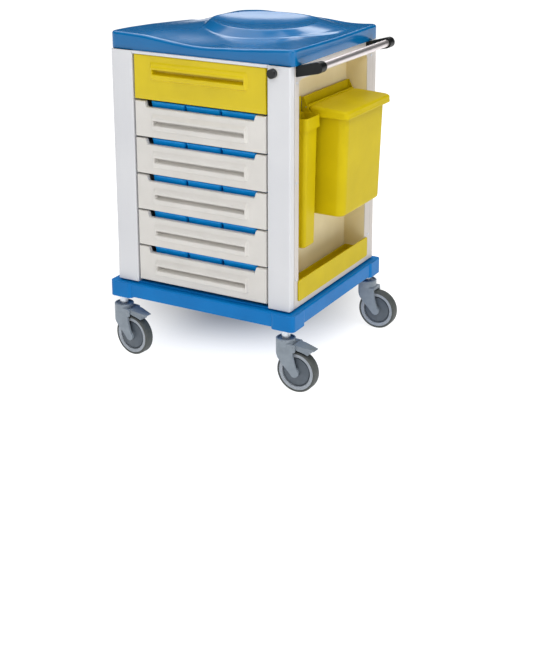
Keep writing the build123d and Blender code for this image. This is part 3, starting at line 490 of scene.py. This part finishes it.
def front_skin(low, high, pull_z, notched):
    """Front plate as one closed skin: a grid of lines that crowd together at the pull, the slot
    and the edges, its upper lines following the notch; the plate's edges turn back in a
    quarter circle to straight sides and a flat back."""
    half = lines(
        (0, 0), (SLOT_HALF - 15, 6), (SLOT_HALF - 6, 4), (SLOT_HALF, 8), (SLOT_HALF + 10, 10),
        (NOTCH_HALF - 10, 3), (NOTCH_HALF - 3, 6), (NOTCH_HALF + 3, 8), (NOTCH_HALF + 9, 6),
        (FRONT_HALF - FRONT_ROUND, 3), (FRONT_HALF, 6))
    across = np.concatenate([-half[:0:-1], half])
    below, above = (3, 2) if notched else (5, 3)
    main_top = high - FRONT_ROUND - (NOTCH_DEEP if notched else 0)
    pull_lines = [(pull_z + rise, steps) for rise, steps in PULL_LINES]
    up = lines(
        (low, 0), (low + FRONT_ROUND, 6), (pull_z - 29, below), *pull_lines, (main_top, above))
    brim = np.full_like(across, high - FRONT_ROUND)
    if notched:
        brim = high - FRONT_ROUND - NOTCH_DEEP * (1 - step((np.abs(across) - NOTCH_HALF + 4) / 8))
    main = np.repeat(up[:, None], len(across), axis=1)
    share = np.linspace(0, 1, 7)[1:, None]
    start = main[-1]
    lift = start + share * (brim - start) if notched else np.empty((0, len(across)))
    last = lift[-1] if notched else start
    edge = last + share * FRONT_ROUND
    z = np.concatenate([main, lift, edge])
    x = np.repeat(across[None], len(z), axis=0)
    reach = np.minimum.reduce([
        FRONT_HALF - np.abs(x), z - low, (last + FRONT_ROUND)[None] - z])
    reach = np.clip(reach, 0, FRONT_ROUND)
    fold = FRONT_ROUND - np.sqrt(np.maximum(FRONT_ROUND ** 2 - (FRONT_ROUND - reach) ** 2, 0))
    y = FACE_Y + fold - pull_relief(x, z - pull_z)
    face = np.stack([x, y, z], axis=-1)
    back = face.copy()
    back[..., 1] = FACE_Y + FRONT_THICK
    border = np.concatenate([face[0, :-1], face[:-1, -1], face[-1, :0:-1], face[:0:-1, 0]])
    behind = border.copy()
    behind[:, 1] = FACE_Y + FRONT_THICK
    return [skin(face, loop=False), skin(back, loop=False), skin(np.stack([border, behind]))]


TOP_PULL_Z, GREY_PULL_Z = 87.5, 48.5     # the pull's middle above the front's lower edge
for row in range(1, 7):
    _, low, high = mid_mm(f"drawer_{row}_front")
    top_one = row == 1
    pull_z = low[2] + (TOP_PULL_Z if top_one else GREY_PULL_Z)
    build(f"drawer_{row}_face", front_skin(low[2], high[2], pull_z, not top_one),
          FRONT_YELLOW if top_one else FRONT_GREY, f"drawer_{row}", [f"drawer_{row}_front"],
          crease=50)

# ---------------------------------------------------------------- bins in the drawers
def drawer_bin(mid_x, mid_y, half_x, half_y, low, high):
    """One thin-walled bin: rounded foot, drafted walls, a rolled rim and the inside back down."""
    wall, rim = 1.8, 2.6
    # (inset from the widest outline, corner radius, height)
    steps = [
        (7, 4, low), (4.5, 6, low + 0.8), (3.2, 7, low + 3), (1.6, 7, high - 8),
        (0.4, 8, high - 6), (0, 8, high - 4), (0.2, 8, high - 1.4), (1.3, 8, high),
        (rim, 7, high - 0.5), (1.6 + wall, 6, high - 4), (3.2 + wall, 5, low + 6),
        (8, 4, low + wall)]
    return skin(capped(stacked([
        (mid_x, mid_y, half_x - inset, half_y - inset, radius, height)
        for inset, radius, height in steps])))


for row in range(2, 7):
    middle, low, high = mid_mm(f"drawer_{row}_bins")
    pitch = (high[0] - low[0] + 1) / 3
    bins = [
        drawer_bin(low[0] + (i + 0.5) * pitch - 0.5, middle[1], pitch / 2 - 0.6,
                   (high[1] - low[1]) / 2 - 0.2, low[2], high[2] - 0.1) for i in range(3)]
    build(f"drawer_{row}_blue_bins", bins, BIN_BLUE, f"drawer_{row}", [f"drawer_{row}_bins"],
          crease=50)

# ---------------------------------------------------------------- lid of the large bin
LID_BACK_X = 254.0      # the lid's own back edge; the tongue goes on from there to the pin
LID_SHOULDER = 18.0     # where the edge's rounding begins, above the skirt's lower edge
LID_ROUND = 9.0
PIN_X, PIN_Z = 249.0, 799.0


def lid_rows():
    """Hollow lid with a sloping, slightly crowned top: rounded rectangles from the ceiling inside
    down to the skirt, round its edge and up the outside.  The crown is one less the square
    of the distance across, times one less its fourth power along; the whole top falls away
    from the hinge by a straight line."""
    _, low, high = mid_mm("bin_lid")
    skirt = low[2]
    mid_x, half_x = (LID_BACK_X + high[0]) / 2, (high[0] - LID_BACK_X) / 2
    mid_y, half_y = (low[1] + high[1]) / 2, (high[1] - low[1]) / 2
    inner = [(mid_x, mid_y, half_x * k, half_y * k, 10, skirt + 22) for k in (0.25, 0.6, 0.9)]
    # (inset from the widest outline, corner radius, height above the skirt's lower edge)
    steps = [(3.5, 12, LID_SHOULDER), (3, 13, 1), (2.4, 14, 0), (0.6, 15, 0), (0, 16, 1),
             (0, 16, 5), (0.8, 16, 7)]
    for inset, rise in arc((0.8 + LID_ROUND, LID_SHOULDER), LID_ROUND, 180, 90, 8):
        steps.append((inset, 16, rise))
    sides = [(mid_x, mid_y, half_x - inset, half_y - inset, radius, skirt + rise)
             for inset, radius, rise in steps]
    top = [(mid_x, mid_y, (half_x - 10) * k, (half_y - 10) * k, 14 * k + 1,
            skirt + LID_SHOULDER + LID_ROUND) for k in (0.93, 0.7, 0.4)]
    rows = capped(stacked(inner + sides + top, 6))
    across, along = (rows[..., 0] - mid_x) / half_x, (rows[..., 1] - mid_y) / half_y
    share = np.clip((rows[..., 2] - skirt - 7) / 20, 0, 1)
    outside = np.arange(len(rows))[:, None] > len(inner) + 1
    crown = 1.6 * (1 - across ** 2) * (1 - along ** 4) * outside
    rows[..., 2] += share * (-3.4 * across + crown - 0.6)
    return rows


def lid_tongue():
    """The strip that joins the lid to its pin: a half round about the pin and a flat tail,
    drawn in the end plane and carried straight along the hinge."""
    _, low, high = mid_mm("bin_lid")
    round_end = arc((PIN_X, PIN_Z), 5.2, 100, 290, 14)
    tail = np.array([(8.5, -3.5), (9.5, -2.0), (9.5, 5.0), (8.5, 6.2)]) + (PIN_X, PIN_Z)
    outline = np.concatenate([round_end, tail])
    along = np.array([low[1] + 4.2, low[1] + 5.0, high[1] - 5.0, high[1] - 4.2])
    shrink = np.array([0.9, 1.0, 1.0, 0.9])[:, None, None]
    middle = outline.mean(axis=0)
    loops = middle + (outline - middle)[None] * shrink
    depth = np.repeat(along[:, None], len(outline), axis=1)
    return capped(np.stack([loops[..., 0], depth, loops[..., 1]], axis=-1))


build("bin_lid_shell", [skin(lid_rows()), skin(lid_tongue())], BIN_YELLOW, "bin_lid", ["bin_lid"],
      crease=50)

# ---------------------------------------------------------------- casters
WHEEL_R = 62.5
HEADINGS = {"front_left": -7.0, "front_right": 0.0, "rear_left": 0.0, "rear_right": 0.0}


def on_wheel(rows, corner):
    """Puts a shape turned about its own height axis onto the wheel's axle: height goes across
    the caster, the rest into the wheel's plane."""
    middle, _, _ = mid_mm(f"{corner}_wheel")
    heading = math.radians(HEADINGS[corner])
    along = np.array([math.cos(heading), math.sin(heading), 0])
    across = np.array([-math.sin(heading), math.cos(heading), 0])
    rise = np.array([0, 0, 1.0])
    return middle + rows[..., :1] * along + rows[..., 1:2] * rise + rows[..., 2:] * across


# (radius, height) round the tyre's section: bead, shoulder, the tread's low arch, and back.
TYRE_PROFILE = np.concatenate([
    [(57.0, -13.2)], arc((57.6, -13.0), 2.4, 200, 270, 4), arc((57.8, -11.0), 4.6, 285, 350, 7),
    arc((0, 0), WHEEL_R, -7, 7, 9),
    arc((57.8, 11.0), 4.6, 10, 75, 7), arc((57.6, 13.0), 2.4, 90, 160, 4), [(57.0, 13.2)]])
# Half sections, (radius, distance from the wheel's middle plane), of the pale ring and the disc.
RING_SIDE = [(57.0, 13.1), (56.2, 13.9), (47.0, 13.5), (45.6, 12.7), (45.0, 7.0)]
DISC_SIDE = [(5.2, 18.4), (11.5, 18.4), (12.8, 17.2), (13.8, 12.4), (16.5, 11.4), (39.5, 11.0),
             (41.2, 10.0), (42.0, 6.4), (46.0, 6.0)]


def both_sides(side):
    """Closed profile of a shape that is the same on both sides of the wheel's middle plane."""
    side = np.array(side)
    return np.concatenate([side * (1, -1), side[::-1]])


def wheel_part(name, profile, points, material, corner, stands_for):
    """One turned piece of a wheel, on that corner's roller body."""
    build(f"{corner}_{name}", [skin(on_wheel(turned(profile, points), corner), ends=True)],
          material, f"{corner}_roller", stands_for)


for corner in CORNERS:
    wheel_part("tread", TYRE_PROFILE, 120, TYRE_RUBBER, corner, [f"{corner}_tyre"])
    wheel_part("disc", both_sides(DISC_SIDE), 96, DISC_NYLON, corner, [f"{corner}_wheel"])
    wheel_part("disc_ring", both_sides(RING_SIDE), 120, RING_NYLON, corner, [])
for corner in CORNERS[:2]:
    dress(f"{corner}_pedal", PEDAL_NYLON, 0.8)

# ---------------------------------------------------------------- floor, light and camera
# From here on, lengths are metres in the shared frame.
FLOOR_HALF = 30
floor_mesh = bpy.data.meshes.new("studio_floor")
floor_corners = [(-FLOOR_HALF, -FLOOR_HALF, 0), (FLOOR_HALF, -FLOOR_HALF, 0),
                 (FLOOR_HALF, FLOOR_HALF, 0), (-FLOOR_HALF, FLOOR_HALF, 0)]
floor_mesh.from_pydata(floor_corners, [], [(0, 1, 2, 3)])
floor = bpy.data.objects.new("studio_floor", floor_mesh)
bpy.context.scene.collection.objects.link(floor)
# Floor that glows as if lit from below; its glow is dimmed round a spot behind and to the left of
# the trolley's middle, a painted shadow of the trolley.
PAINTED_SHADOW_SPOT = (-0.25, 0.35, 0.0)
floor_finish = finish("glowing_floor_painted_shadow", "#9C9C9C", "#989898", 0.90, 0.03, 3.0, 0.01, 900.0)
floor_tree = floor_finish.node_tree
floor_shader = floor_tree.nodes["Principled BSDF"]
floor_shader.inputs["Emission Color"].default_value = (1, 1, 1, 1)
floor_spot = add_node(floor_tree, "ShaderNodeTexCoord")
far_off = add_node(floor_tree, "ShaderNodeVectorMath", {
    0: floor_spot.outputs["Object"], 1: PAINTED_SHADOW_SPOT}, operation="DISTANCE")
# Painted shadow: the floor's glow grows weaker towards the spot behind and to the left of the
# trolley.
painted_shadow_glow = add_node(floor_tree, "ShaderNodeMapRange", {
    "Value": far_off.outputs["Value"],
    "From Min": 0.15, "From Max": 0.65, "To Min": 0.12, "To Max": 1.0},
    interpolation_type="SMOOTHSTEP")
floor_tree.links.new(painted_shadow_glow.outputs["Result"], floor_shader.inputs["Emission Strength"])
floor_mesh.materials.append(floor_finish)

world = bpy.data.worlds.new("studio")
bpy.context.scene.world = world
world.use_nodes = True
sky = world.node_tree
ray = add_node(sky, "ShaderNodeTexCoord")
part = add_node(sky, "ShaderNodeSeparateXYZ", {"Vector": ray.outputs["Generated"]})
rise = add_node(sky, "ShaderNodeMapRange", {
    "Value": part.outputs["Z"], "From Min": 0.40, "From Max": 0.70, "To Min": 0.03, "To Max": 0.45})
sky.links.new(rise.outputs["Result"], sky.nodes["Background"].inputs["Strength"])
sky.nodes["Background"].inputs["Color"].default_value = (1, 1, 1, 1)


def soft_box(name, spot, aim, width, height, power):
    """A rectangular studio light at spot that faces aim."""
    lamp = bpy.data.lights.new(name, "AREA")
    lamp.shape = "RECTANGLE"
    lamp.size, lamp.size_y, lamp.energy = width, height, power
    thing = bpy.data.objects.new(name, lamp)
    thing.location = spot
    thing.rotation_euler = (Vector(aim) - Vector(spot)).to_track_quat("-Z", "Y").to_euler()
    bpy.context.scene.collection.objects.link(thing)


soft_box("overhead_box", (1.5, -0.7, 3.2), (0.1, 0, 0.6), 1.8, 1.6, 36)
soft_box("rear_low_box", (-1.2, 2.5, 2.75), (0, 0, 1.0), 2.2, 1.0, 22)
soft_box("rear_high_box", (-1.2, 0.35, 3.3), (0, 0, 1.0), 2.6, 2.4, 42)
soft_box("front_box", (0.9, -3.4, 2.9), (0, 0, 0.4), 2.8, 1.5, 44)
soft_box("low_front_box", (-0.6, -4.4, 0.9), (0, 0, 0.2), 2.6, 1.0, 10)
soft_box("right_box", (4.0, -0.4, 1.5), (0, 0, 0.5), 1.8, 1.8, 28)

CAMERA_STAND = (1.9585, -3.3, 1.632)      # from the point on the floor under the body's middle
camera_data = bpy.data.cameras.new("camera")
camera_data.sensor_width = 36.0
camera_data.lens = 71.3
camera_data.shift_x = -0.0577
camera_data.shift_y = -0.2415
camera_data.clip_end = 100.0
camera = bpy.data.objects.new("camera", camera_data)
bpy.context.scene.collection.objects.link(camera)
azimuth, elevation, roll = (math.radians(a) for a in (28.083, 15.603, 0.28))
back = Vector((
    math.sin(azimuth) * math.cos(elevation), -math.cos(azimuth) * math.cos(elevation),
    math.sin(elevation)))
right = Vector((math.cos(azimuth), math.sin(azimuth), 0))
up = back.cross(right)
right, up = (right * math.cos(roll) + up * math.sin(roll),
             up * math.cos(roll) - right * math.sin(roll))
stand = Vector(CAMERA_STAND) + Vector(BODY_MIDDLE)
camera.matrix_world = Matrix((
    (right.x, up.x, back.x, stand.x), (right.y, up.y, back.y, stand.y),
    (right.z, up.z, back.z, stand.z), (0, 0, 0, 1)))
bpy.context.scene.camera = camera
bpy.context.scene.view_settings.view_transform = "Standard"
